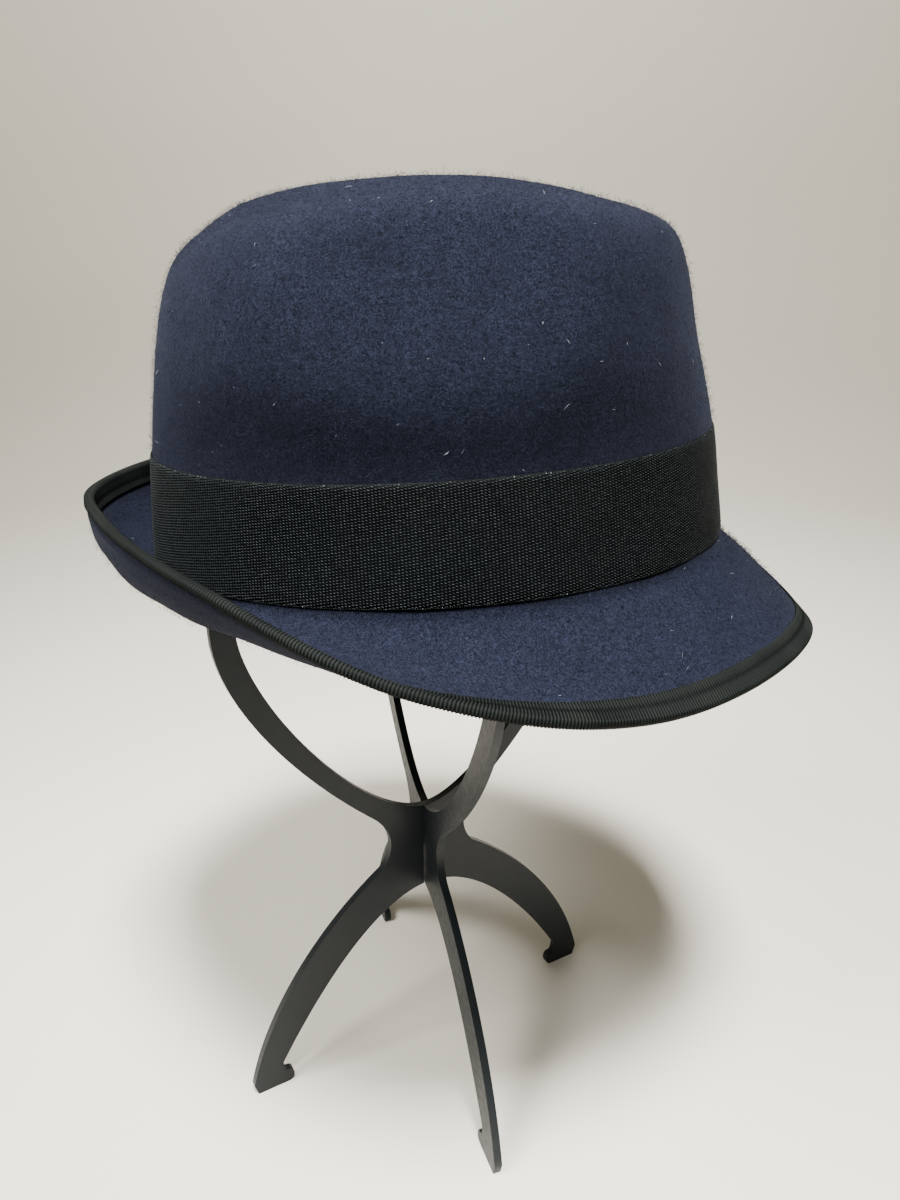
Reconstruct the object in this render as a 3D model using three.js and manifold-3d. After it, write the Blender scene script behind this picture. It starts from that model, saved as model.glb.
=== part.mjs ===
// A trilby of blocked wool felt, with a ribbon band and a bound brim, on a stand of two slotted plates.
// Millimetres, +Z up, the floor at z = 0, the front of the hat towards -Y, the wearer's right towards -X.

import * as THREE from "three";
import { mergeVertices } from "three/addons/utils/BufferGeometryUtils.js";
import Module from "manifold-3d";

// Clearance kept between neighbouring pieces.
const GAP = 0.35;

// Place of the hat: the foot of the crown on its middle axis, and how far the front is raised.
const HAT_Y = 4.46;
const HAT_Z = 237.6;
const HAT_PITCH = THREE.MathUtils.degToRad(3);

// Walls of the felt and of the two ribbons.
const FELT = 2;
const BAND_THICK = 0.8;
const BINDING_THICK = 0.6;

// Steps round the hat, and along the felt from the crease to the brim's edge.
const ROUND_STEPS = 64;
const CROWN_STEPS = 18;
const BREAK_STEPS = 2;
const BRIM_STEPS = 4;
const HEM_STEPS = 3;

// Sections of the crown from its foot to the floor of the crease, on the felt's middle surface:
// heights at the front, side and back, and reach from the axis to the front, back and side.
const CROWN = [
  { zFront: -4, zSide: -4, zBack: -4, front: 100.2, back: 102.3, half: 82.2 },
  { zFront: 36, zSide: 36, zBack: 36, front: 95.6, back: 97.1, half: 80 },
  { zFront: 68, zSide: 70, zBack: 66, front: 88, back: 90.4, half: 84.5 },
  { zFront: 93, zSide: 99, zBack: 87, front: 83, back: 84.2, half: 76 },
  { zFront: 100, zSide: 111, zBack: 99.5, front: 75.3, back: 76.8, half: 55.7 },
  { zFront: 97, zSide: 114, zBack: 111, front: 64, back: 56, half: 42 },
  { zFront: 93, zSide: 105, zBack: 100, front: 52, back: 44, half: 31 },
  { zFront: 90, zSide: 94, zBack: 92, front: 31, back: 28, half: 18 },
  { zFront: 89.4, zSide: 90, zBack: 89.8, front: 14, back: 13, half: 7 },
  { zFront: 89.4, zSide: 89.4, zBack: 89.4, front: 0, back: 0, half: 0 },
];

// Pinch that presses each side of the crown into a leaning panel: its reach from the axis at a height,
// how it leans in upwards and tapers in forwards, the radius it bows to, and the rounding at its rim.
const PINCH = { half: 83.3, up: 60, lean: 0.35, taper: 0.065, bow: 540, round: 7 };

// Sections of the brim at every 30 degrees of azimuth from the front to the back: its width, and its
// slope in degrees where it leaves the crown and at its edge. Each section is one arc.
const BRIM = [
  { width: 44.4, atCrown: -40, atEdge: -52 },
  { width: 41.9, atCrown: -34, atEdge: -41 },
  { width: 41.5, atCrown: -43, atEdge: -31 },
  { width: 40.5, atCrown: -47, atEdge: 25 },
  { width: 39.4, atCrown: -20, atEdge: 88 },
  { width: 37.3, atCrown: 6, atEdge: 107 },
  { width: 37, atCrown: 12, atEdge: 95 },
];

// Rounding where the crown breaks into the brim, as shares of the crown's climb and the open brim.
const BREAK = { climb: 0.009, out: 0.1 };

// The band, from a little above the break to its top edge, as shares of the crown's climb.
const BAND = { low: 0.01, high: 0.112, steps: 3 };

// Width of the brim's hem, which the binding covers above, and the part of it covered below.
const HEM = 10;
const HEM_BELOW = 2 / 3;

// The stand: place of its axis, and the directions of its two plates.
const STAND_X = 2;
const STAND_Y = HAT_Y + 6.2;
const PLATE_A_DEG = -60;
const CROSSING_DEG = 80;
const PLATE_THICK = 3.2;
const PLATE_STEPS = 7;

// Heights on a plate's middle line, from the arch between the legs to the top of the loop.
const HUB_BOTTOM = 77.1;
const HUB_TOP = 116.4;
const LOOP_MIDDLE = 210.7;
const LOOP_TOP = HAT_Z + (CROWN.at(-1).zSide - FELT / 2) * Math.cos(HAT_PITCH) - GAP;

// Half widths of the two loops: the hat is narrow across plate B and presses its loop in.
const LOOP_A_HALF = 83.5;
const LOOP_B_HALF = 79;

// Curves of a plate, each as how far they reach out from its middle line and up from the floor.
const WAIST = { out: 12.2, up: 103.7 };
const LEG = {
  archOut: 26,
  shinOut: 53,
  shinUp: 41,
  calfOut: 75,
  thighOut: 50,
  thighUp: 72,
  hipOut: 22,
  hipUp: 91,
};
const ARM = {
  width: 9,
  neckOut: 24,
  neckUp: 116.5,
  bowlOut: 56,
  bowlUp: 145.5,
  sideUp: 183,
  crotchOut: 28,
};

// A foot: reach of its heel and of its sole, height of the chamfered heel, and the nub that points in.
const FOOT = {
  heel: 84,
  heelUp: 5,
  sole: 82.4,
  nub: 66.4,
  nubUp: 6.4,
  round: 2.5,
  notch: 70.8,
  notchUp: 11.4,
};

const NAVY_FELT = new THREE.MeshStandardMaterial({ color: 0x20263f, roughness: 0.95 });
const BLACK_RIBBON = new THREE.MeshStandardMaterial({ color: 0x15171a, roughness: 0.7 });
const BLACK_BRAID = new THREE.MeshStandardMaterial({ color: 0x1c1e20, roughness: 0.8 });
const DARK_PLASTIC = new THREE.MeshStandardMaterial({ color: 0x34383b, roughness: 0.45 });

const UP = new THREE.Vector3(0, 0, 1);
const NUDGE = 1e-4;

const crownHeights = new THREE.CatmullRomCurve3(
  CROWN.map((row) => new THREE.Vector3(row.zFront, row.zSide, row.zBack)),
  false,
  "catmullrom",
);

const crownReaches = new THREE.CatmullRomCurve3(
  CROWN.map((row) => new THREE.Vector3(row.front, row.back, row.half)),
  false,
  "catmullrom",
);

// The brim's sections all round: the second side mirrors the first.
const brimSections = new THREE.CatmullRomCurve3(
  [...BRIM, ...BRIM.slice(1, -1).reverse()].map(
    (row) => new THREE.Vector3(row.width, row.atCrown, row.atEdge),
  ),
  true,
  "catmullrom",
);

// Half width of the crown after the pinch: the lesser of wall and panel, rounded where they meet.
function pinched(wall, ahead, up) {
  const leaned = PINCH.half - PINCH.lean * (up - PINCH.up);
  const panel = leaned - PINCH.taper * ahead - ahead ** 2 / (2 * PINCH.bow);
  const near = Math.max(0, 1 - Math.abs(wall - panel) / PINCH.round);
  return Math.min(wall, panel) - (near ** 2 * PINCH.round) / 4;
}

// A point of the crown's middle surface. The climb goes from 0 at the foot to 1 at the crease's floor.
function crownPoint(theta, climb) {
  const height = crownHeights.getPoint(Math.min(climb, 1));
  const reach = crownReaches.getPoint(Math.min(climb, 1));
  const toFront = Math.cos(theta);
  const toSide = Math.sin(theta);
  const endReach = toFront > 0 ? reach.x : reach.y;
  const endHeight = toFront > 0 ? height.x : height.z;
  const ahead = endReach * toFront;
  const up = height.y + (endHeight - height.y) * toFront ** 2;
  const half = pinched(reach.z * Math.abs(toSide), ahead, up);
  return new THREE.Vector3(-half * Math.sign(toSide), -ahead, up);
}

// A point of the brim's middle surface: the station goes from 0 at the crown, through 1 where the hem
// starts, to 2 at the edge.
function brimPoint(theta, station) {
  const section = brimSections.getPoint(theta / (2 * Math.PI));
  const hem = HEM / section.x;
  const share = station < 1 ? station * (1 - hem) : 1 - (2 - station) * hem;
  const start = THREE.MathUtils.degToRad(section.y);
  const bend = THREE.MathUtils.degToRad(section.z) - start;
  const slope = start + bend * share;
  const out = (section.x * (Math.sin(slope) - Math.sin(start))) / bend;
  const rise = (section.x * (Math.cos(start) - Math.cos(slope))) / bend;
  const { front, half } = CROWN[0];
  const outward = new THREE.Vector3(-Math.sin(theta) / half, -Math.cos(theta) / front, 0).normalize();
  return crownPoint(theta, 0).addScaledVector(outward, out).addScaledVector(UP, rise);
}

// A point of the felt's middle surface. The station goes from -1 at the crease's floor, through 0 at
// the break, to 2 at the brim's edge. The break is rounded as a quadratic curve.
function middlePoint(theta, station) {
  if (station <= -BREAK.climb) return crownPoint(theta, -station);
  if (station >= BREAK.out) return brimPoint(theta, station);
  const rounding = new THREE.QuadraticBezierCurve3(
    crownPoint(theta, BREAK.climb),
    crownPoint(theta, 0),
    brimPoint(theta, BREAK.out),
  );
  return rounding.getPoint((station + BREAK.climb) / (BREAK.climb + BREAK.out));
}

// A point lifted off the felt's middle surface, along the surface's outward normal.
function feltPoint(theta, station, lift) {
  const spot = middlePoint(theta, station);
  if (station <= -1) return spot.addScaledVector(UP, lift);
  const down = middlePoint(theta, station + NUDGE).sub(middlePoint(theta, station - NUDGE));
  const round = middlePoint(theta + NUDGE, station).sub(middlePoint(theta - NUDGE, station));
  return spot.addScaledVector(round.cross(down).normalize(), lift);
}

// Evenly spaced values from one number to another, both included.
function spread(from, to, steps) {
  return Array.from({ length: steps + 1 }, (_, i) => from + ((to - from) * i) / steps);
}

// A lathe-turned flat blank, whose profile holds stations along the felt and lifts off it, pressed to
// its blocked shape. Station -1 is on the axis of the lathe.
function blocked(profile) {
  const turned = profile.map(([station, lift]) => new THREE.Vector2(station + 1, lift));
  const blank = new THREE.LatheGeometry(turned, ROUND_STEPS);
  blank.deleteAttribute("normal");
  blank.deleteAttribute("uv");
  const spots = blank.getAttribute("position");
  for (let i = 0; i < spots.count; i++) {
    const turn = Math.floor(i / profile.length) % ROUND_STEPS;
    const [station, lift] = profile[i % profile.length];
    const spot = feltPoint((2 * Math.PI * turn) / ROUND_STEPS, station, lift);
    spots.setXYZ(i, spot.x, spot.y, spot.z);
  }
  return mergeVertices(blank);
}

// Crown and brim: one wall of felt from the crease to the brim's edge and back underneath.
function feltGeometry() {
  const stations = [
    ...spread(-1, -BREAK.climb, CROWN_STEPS),
    ...spread(-BREAK.climb, BREAK.out, BREAK_STEPS).slice(1, -1),
    ...spread(BREAK.out, 1, BRIM_STEPS),
    ...spread(1, 2, HEM_STEPS).slice(1),
  ];
  const outside = stations.map((station) => [station, FELT / 2]);
  const inside = stations.map((station) => [station, -FELT / 2]);
  return blocked([...outside, ...inside.reverse()]);
}

// The ribbon band round the foot of the crown.
function bandGeometry() {
  const inner = FELT / 2 + GAP;
  const outer = inner + BAND_THICK;
  const stations = spread(-BAND.high, -BAND.low, BAND.steps);
  const face = stations.map((station) => [station, outer]);
  const back = stations.map((station) => [station, inner]);
  const ring = [...face, ...back.reverse()];
  return blocked([...ring, ring[0]]);
}

// The ribbon folded over the brim's edge.
function bindingGeometry() {
  const inner = FELT / 2 + GAP;
  const outer = inner + BINDING_THICK;
  const above = spread(1, 2, HEM_STEPS);
  const below = spread(2, 2 - HEM_BELOW, Math.round(HEM_STEPS * HEM_BELOW));
  const foldInner = 2 + GAP / HEM;
  const foldOuter = foldInner + BINDING_THICK / HEM;
  const outside = [
    ...above.map((station) => [station, outer]),
    [foldOuter, inner],
    [foldOuter, -inner],
    ...below.map((station) => [station, -outer]),
  ];
  const inside = [
    ...above.map((station) => [station, inner]),
    [foldInner, inner],
    [foldInner, -inner],
    ...below.map((station) => [station, -inner]),
  ];
  const ring = [...outside, ...inside.reverse()];
  return blocked([...ring, ring[0]]);
}

// Right half of a plate's outer edge, from the arch between the legs up to the top of the loop.
function outerEdge(loopHalf) {
  const nubMiddle = FOOT.nubUp / 2;
  const edge = new THREE.Path();
  edge.moveTo(0, HUB_BOTTOM);
  edge.bezierCurveTo(LEG.archOut, HUB_BOTTOM, LEG.shinOut, LEG.shinUp, FOOT.notch, FOOT.notchUp);
  edge.quadraticCurveTo(FOOT.notch, FOOT.nubUp, FOOT.nub + FOOT.round, FOOT.nubUp);
  edge.quadraticCurveTo(FOOT.nub, FOOT.nubUp, FOOT.nub, nubMiddle);
  edge.quadraticCurveTo(FOOT.nub, 0, FOOT.nub + nubMiddle, 0);
  edge.lineTo(FOOT.sole, 0);
  edge.lineTo(FOOT.heel, FOOT.heelUp);
  edge.bezierCurveTo(LEG.calfOut, LEG.shinUp, LEG.thighOut, LEG.thighUp, LEG.hipOut, LEG.hipUp);
  edge.quadraticCurveTo(WAIST.out, WAIST.up, ARM.neckOut, ARM.neckUp);
  edge.bezierCurveTo(ARM.bowlOut, ARM.bowlUp, loopHalf, ARM.sideUp, loopHalf, LOOP_MIDDLE);
  edge.absellipse(0, LOOP_MIDDLE, loopHalf, LOOP_TOP - LOOP_MIDDLE, 0, Math.PI / 2);
  return edge;
}

// Right half of the loop's inner edge, from the hub up.
function innerEdge(loopHalf) {
  const half = loopHalf - ARM.width;
  const edge = new THREE.Path();
  edge.moveTo(0, HUB_TOP);
  edge.bezierCurveTo(ARM.crotchOut, HUB_TOP, half, ARM.sideUp, half, LOOP_MIDDLE);
  edge.absellipse(0, LOOP_MIDDLE, half, LOOP_TOP - ARM.width - LOOP_MIDDLE, 0, Math.PI / 2);
  return edge;
}

// A half outline and its mirror image as one ring of points.
function mirrored(half) {
  const right = half.getPoints(PLATE_STEPS);
  const left = right.slice(1, -1).map((point) => new THREE.Vector2(-point.x, point.y));
  return [...right, ...left.reverse()];
}

const wasm = await Module();
wasm.setup();

// The closed solid of a geometry, by its positions alone.
function solid(geometry) {
  const bare = geometry.clone();
  bare.deleteAttribute("normal");
  bare.deleteAttribute("uv");
  const merged = mergeVertices(bare);
  const vertProperties = new Float32Array(merged.getAttribute("position").array);
  const triVerts = new Uint32Array(merged.index.array);
  return new wasm.Manifold(new wasm.Mesh({ numProp: 3, vertProperties, triVerts }));
}

function cut(geometry, tools) {
  const left = tools.reduce((kept, tool) => kept.subtract(solid(tool)), solid(geometry));
  const { vertProperties, triVerts } = left.getMesh();
  const made = new THREE.BufferGeometry();
  made.setAttribute("position", new THREE.BufferAttribute(vertProperties, 3));
  made.setIndex(new THREE.BufferAttribute(triVerts, 1));
  return made;
}

// Slot for the other plate, wide enough for the angle at which it crosses.
function slot(low, high) {
  const crossing = THREE.MathUtils.degToRad(CROSSING_DEG);
  const width = (PLATE_THICK * (1 + Math.cos(crossing)) + 2 * GAP) / Math.sin(crossing);
  const box = new THREE.BoxGeometry(width, 2 * PLATE_THICK, high - low);
  return box.translate(0, 0, (low + high) / 2);
}

// An upright plate across the stand's axis, cut by its slots.
function plateGeometry(loopHalf, slots) {
  const shape = new THREE.Shape(mirrored(outerEdge(loopHalf)));
  shape.holes.push(new THREE.Path(mirrored(innerEdge(loopHalf)).reverse()));
  const sheet = new THREE.ExtrudeGeometry(shape, { depth: PLATE_THICK, bevelEnabled: false });
  sheet.translate(0, 0, -PLATE_THICK / 2).rotateX(Math.PI / 2);
  return cut(sheet, slots);
}

function part(name, geometry, material) {
  const mesh = new THREE.Mesh(geometry, material);
  mesh.name = name;
  return mesh;
}

function hat() {
  const group = new THREE.Group();
  group.add(part("felt_body", feltGeometry(), NAVY_FELT));
  group.add(part("hat_band", bandGeometry(), BLACK_RIBBON));
  group.add(part("brim_binding", bindingGeometry(), BLACK_BRAID));
  group.position.set(0, HAT_Y, HAT_Z);
  group.rotation.x = -HAT_PITCH;
  return group;
}

// Plate A is slotted from below and plate B from above, at the hub and at the top of the loop.
function stand() {
  const hubMeet = (HUB_BOTTOM + HUB_TOP) / 2;
  const topMeet = LOOP_TOP - ARM.width / 2;
  const past = PLATE_THICK;
  const fromBelow = [
    slot(HUB_BOTTOM - past, hubMeet + GAP / 2),
    slot(LOOP_TOP - ARM.width - past, topMeet + GAP / 2),
  ];
  const fromAbove = [
    slot(hubMeet - GAP / 2, HUB_TOP + past),
    slot(topMeet - GAP / 2, LOOP_TOP + past),
  ];
  const plateA = part("stand_plate_a", plateGeometry(LOOP_A_HALF, fromBelow), DARK_PLASTIC);
  const plateB = part("stand_plate_b", plateGeometry(LOOP_B_HALF, fromAbove), DARK_PLASTIC);
  plateA.rotation.z = THREE.MathUtils.degToRad(PLATE_A_DEG);
  plateB.rotation.z = THREE.MathUtils.degToRad(PLATE_A_DEG + CROSSING_DEG);
  const group = new THREE.Group();
  group.add(plateA, plateB);
  group.position.set(STAND_X, STAND_Y, 0);
  return group;
}

const trilbyOnStand = new THREE.Group();
trilbyOnStand.add(hat(), stand());

export default trilbyOnStand;
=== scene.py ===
"""A navy felt trilby on a knock-down stand of two slotted plates.

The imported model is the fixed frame. Felt, ribbons and moulded plates are remade over it with their
nap, weave, ribs, stitching and rounded edges. Sizes are in millimetres until a mesh is written, and
the studio's are in metres.
"""

import logging
import math
from collections.abc import Iterator
from contextlib import contextmanager
from dataclasses import dataclass
from enum import Enum
from functools import cached_property
from typing import Any, NamedTuple

import bpy
import numpy as np
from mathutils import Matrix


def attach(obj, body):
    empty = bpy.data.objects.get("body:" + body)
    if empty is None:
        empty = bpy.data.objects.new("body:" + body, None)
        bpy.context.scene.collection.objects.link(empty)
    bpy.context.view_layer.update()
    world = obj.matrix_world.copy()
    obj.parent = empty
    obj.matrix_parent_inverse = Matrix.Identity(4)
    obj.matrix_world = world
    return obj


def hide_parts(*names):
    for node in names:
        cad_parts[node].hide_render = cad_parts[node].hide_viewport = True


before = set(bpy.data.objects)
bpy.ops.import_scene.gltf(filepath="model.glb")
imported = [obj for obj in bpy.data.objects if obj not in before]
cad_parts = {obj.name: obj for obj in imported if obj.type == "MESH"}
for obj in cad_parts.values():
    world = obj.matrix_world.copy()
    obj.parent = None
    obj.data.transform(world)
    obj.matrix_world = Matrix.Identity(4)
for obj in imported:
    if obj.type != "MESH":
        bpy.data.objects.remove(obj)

LOG = logging.getLogger("trilby")
Array = np.ndarray
Pair = tuple[float, float]
Place = tuple[float, float, float]
MM = 0.001
WELD = 1e-4 * MM
BODY = "root"
TURN = 2 * math.pi
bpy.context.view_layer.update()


class CrownRow(NamedTuple):
    """A section of the crown: heights and reaches of the felt's middle surface."""

    z_front: float
    z_side: float
    z_back: float
    front: float
    back: float
    half: float


class BrimRow(NamedTuple):
    """A section of the brim: its width, and its slopes in degrees at the crown and at the edge."""

    width: float
    at_crown: float
    at_edge: float


# From the foot of the crown to the floor of the crease.
CROWN = (
    CrownRow(-4, -4, -4, 100.2, 102.3, 82.2),
    CrownRow(36, 36, 36, 95.6, 97.1, 80),
    CrownRow(68, 70, 66, 88, 90.4, 84.5),
    CrownRow(93, 99, 87, 83, 84.2, 76),
    CrownRow(100, 111, 99.5, 75.3, 76.8, 55.7),
    CrownRow(97, 114, 111, 64, 56, 42),
    CrownRow(93, 105, 100, 52, 44, 31),
    CrownRow(90, 94, 92, 31, 28, 18),
    CrownRow(89.4, 90, 89.8, 14, 13, 7),
    CrownRow(89.4, 89.4, 89.4, 0, 0, 0),
)

# Every 30 degrees from the front to the back.
BRIM = (
    BrimRow(44.4, -40, -52),
    BrimRow(41.9, -34, -41),
    BrimRow(41.5, -43, -31),
    BrimRow(40.5, -47, 25),
    BrimRow(39.4, -20, 88),
    BrimRow(37.3, 6, 107),
    BrimRow(37, 12, 95),
)

# The stations of the crease's floor, the hem's start and the brim's edge.
CREASE, HEM, EDGE = -1.0, 1.0, 2.0


class Side(Enum):
    """Faces of the felt."""

    OUTER = 1
    UNDER = -1


# ---------------- numbers


def unit(vectors: Array) -> Array:
    """Scales vectors to length 1."""
    return vectors / np.maximum(np.linalg.norm(vectors, axis=-1, keepdims=True), 1e-12)


def smoothstep(value: Array, low: float, high: float) -> Array:
    """Rises smoothly from 0 at low to 1 at high."""
    share = np.clip((value - low) / (high - low), 0, 1)
    return share * share * (3 - 2 * share)


def bell(value: Array) -> Array:
    """Makes a smooth hump: 1 in the middle, 0 from one unit away."""
    return np.where(np.abs(value) < 1, (1 - value * value) ** 2, 0)


def spline(rows: Array, share: Array, closed: bool) -> Array:
    """Runs a uniform Catmull-Rom spline through rows of numbers.

    Args:
        rows: The rows, evenly spaced from 0 to 1.
        share: Places along the spline.
        closed: Whether the last row leads back to the first.

    Returns:
        The rows' values at those places, in a last axis.
    """
    count = len(rows)
    steps = count if closed else count - 1
    place = np.clip(share, 0, 1) * steps
    cell = np.minimum(np.floor(place).astype(int), steps - 1)
    part = (place - cell)[..., None]
    if closed:
        before, first, second, after = (rows[(cell + k) % count] for k in (-1, 0, 1, 2))
    else:
        ends = np.vstack([2 * rows[:1] - rows[1:2], rows, 2 * rows[-1:] - rows[-2:-1]])
        before, first, second, after = (ends[cell + k] for k in range(4))
    leave, arrive = (second - before) / 2, (after - first) / 2
    cubic = 2 * first - 2 * second + leave + arrive
    square = 3 * second - 3 * first - 2 * leave - arrive
    return ((cubic * part + square) * part + leave) * part + first


class Waves(NamedTuple):
    """A smooth uneven field of random waves, with wavelengths in millimetres."""

    seed: int
    shortest: float
    longest: float
    count: int = 28

    def at(self, points: Array) -> Array:
        """Gives the field at points in space.

        Args:
            points: The points, in millimetres.

        Returns:
            One number for each point, about -1 to 1.
        """
        rng = np.random.default_rng(self.seed)
        heading = unit(rng.normal(size=(self.count, 3)))
        ends = math.log(self.shortest), math.log(self.longest)
        length = np.exp(rng.uniform(*ends, self.count))
        phase = rng.uniform(0, TURN, self.count)
        total = np.zeros(points.shape[:-1])
        for k in range(self.count):
            total += np.sin(points @ heading[k] * (TURN / length[k]) + phase[k])
        return total / math.sqrt(self.count)


# ---------------- meshes


def start_alone() -> None:
    """Leaves edit mode and deselects everything."""
    if bpy.context.object and bpy.context.object.mode != "OBJECT":
        bpy.ops.object.mode_set(mode="OBJECT")
    bpy.ops.object.select_all(action="DESELECT")


def pick(piece: Any) -> None:
    """Makes a piece the only selected object and the active one.

    Args:
        piece: The object.
    """
    start_alone()
    piece.select_set(True)
    bpy.context.view_layer.objects.active = piece


@contextmanager
def editing() -> Iterator[None]:
    """Puts the active object in edit mode, with all selected, for the length of a with block."""
    bpy.ops.object.mode_set(mode="EDIT")
    bpy.ops.mesh.select_all(action="SELECT")
    yield
    bpy.ops.object.mode_set(mode="OBJECT")


def name_active(name: str) -> Any:
    """Names the active object and its data, and returns it."""
    bpy.context.object.name = bpy.context.object.data.name = name
    return bpy.context.object


def apply_modifier(piece: Any, kind: str, **settings: Any) -> None:
    """Adds a modifier with its settings and applies it.

    Args:
        piece: The mesh object.
        kind: The modifier's type.
        settings: Properties of the modifier.
    """
    pick(piece)
    modifier = piece.modifiers.new(kind.lower(), kind)
    for name, value in settings.items():
        setattr(modifier, name, value)
    bpy.ops.object.modifier_apply(modifier=modifier.name)


def keep_numbers(piece: Any, name: str, numbers: Array) -> None:
    """Keeps a named number on each point of a mesh, for its material."""
    attribute = piece.data.attributes.new(name, "FLOAT", "POINT")
    attribute.data.foreach_set("value", numbers.astype(np.float32).ravel())


def joined_mesh(name: str, points: Array, faces: Array) -> Any:
    """Makes one mesh of many small pieces from arrays.

    Args:
        name: The piece's name.
        points: Corner points in millimetres, in the row's frame.
        faces: Triangles, as rows of point numbers.

    Returns:
        The new object.
    """
    mesh = bpy.data.meshes.new(name)
    mesh.vertices.add(len(points))
    mesh.vertices.foreach_set("co", (points * MM).astype(np.float32).ravel())
    mesh.loops.add(faces.size)
    mesh.loops.foreach_set("vertex_index", faces.astype(np.int32).ravel())
    mesh.polygons.add(len(faces))
    mesh.polygons.foreach_set("loop_start", np.arange(0, faces.size, 3, dtype=np.int32))
    mesh.polygons.foreach_set("use_smooth", np.ones(len(faces), bool))
    mesh.update(calc_edges=True)
    piece = bpy.data.objects.new(name, mesh)
    bpy.context.scene.collection.objects.link(piece)
    return piece


def corners(heart: Array, up: Array, aside: Array, sunk: Array | float = 0.0) -> Array:
    """Gives three corners round the middle of each sliver: one above it and two beside it."""
    return np.stack([heart + up, heart - sunk + aside, heart - sunk - aside], axis=1)


def spindles(name: str, root: Array, ring: Array, tip: Array, tint: Array) -> Any:
    """Makes fibres or threads, each a closed sliver of six triangles that may bend at its middle.

    Args:
        name: The piece's name.
        root: First ends, one row each, in millimetres.
        ring: Three corners at the middle of each, as rows of three points.
        tip: Last ends.
        tint: A number from 0 to 1 for each, kept on its points for the material.

    Returns:
        The new object.
    """
    across = np.cross(ring[:, 1] - ring[:, 0], ring[:, 2] - ring[:, 0])
    turned = np.einsum("ij,ij->i", across, tip - root) < 0
    ring = np.where(turned[:, None, None], ring[:, ::-1], ring)
    each = np.concatenate([root[:, None], ring, tip[:, None]], axis=1)
    count, size = each.shape[:2]
    pattern = np.array([[1, 2, 4], [2, 3, 4], [3, 1, 4], [2, 1, 0], [3, 2, 0], [1, 3, 0]])
    faces = (pattern[None] + size * np.arange(count)[:, None, None]).reshape(-1, 3)
    piece = joined_mesh(name, each.reshape(-1, 3), faces)
    keep_numbers(piece, "tint", np.repeat(tint, size))
    return piece


def dress(piece: Any, finish: "Finish", node: str | None = None) -> None:
    """Gives a piece its finish and its place in the frame, and reports it.

    Args:
        piece: The object.
        finish: The finish, whose material it gets.
        node: The CAD node that it stands for, if any.
    """
    piece.data.materials.clear()
    piece.data.materials.append(finish.material())
    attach(piece, BODY)
    if node:
        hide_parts(node)
    piece.data.calc_loop_triangles()
    LOG.info("%s: %d triangles", piece.name, len(piece.data.loop_triangles))


# ---------------- the hat's form


class Spot(NamedTuple):
    """Places on the felt: point, outward normal, and directions round the hat and to its edge."""

    point: Array
    normal: Array
    round: Array
    down: Array


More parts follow.
